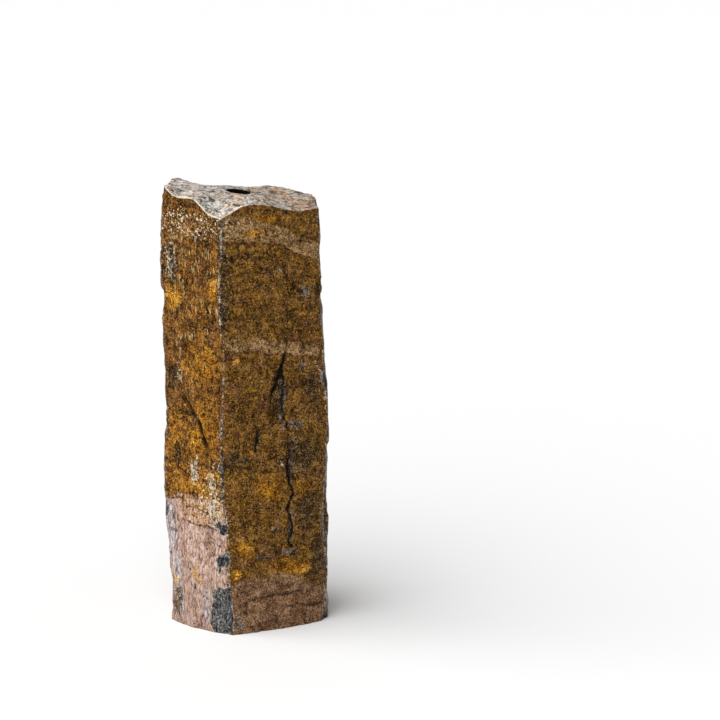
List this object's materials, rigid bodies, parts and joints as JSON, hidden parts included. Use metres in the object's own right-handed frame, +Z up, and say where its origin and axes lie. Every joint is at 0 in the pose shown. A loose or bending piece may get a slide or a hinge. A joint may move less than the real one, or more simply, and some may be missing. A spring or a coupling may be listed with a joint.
{
  "type": "basalt column",
  "caption": "Seven-sided natural basalt column for a garden fountain, with a broken rough head, a sawn flat foot and a water bore drilled from head to foot.",
  "frame": {"origin": "on the ground, at the middle of the column's overall plan", "axes": "+Z up along the column, -Y towards the viewer, who sees the front arris with a face on each side of it, +X to the viewer's right"},
  "size_m": [0.2842, 0.2454, 0.7633],
  "materials": {
    "basalt": "weathered, iron-stained brown and ochre skin with a damp sheen, pinky-lilac at the foot, fresh grey where it is broken"
  },
  "bodies": {
    "root": {"basalt_column": "basalt"}
  },
  "joints": []
}
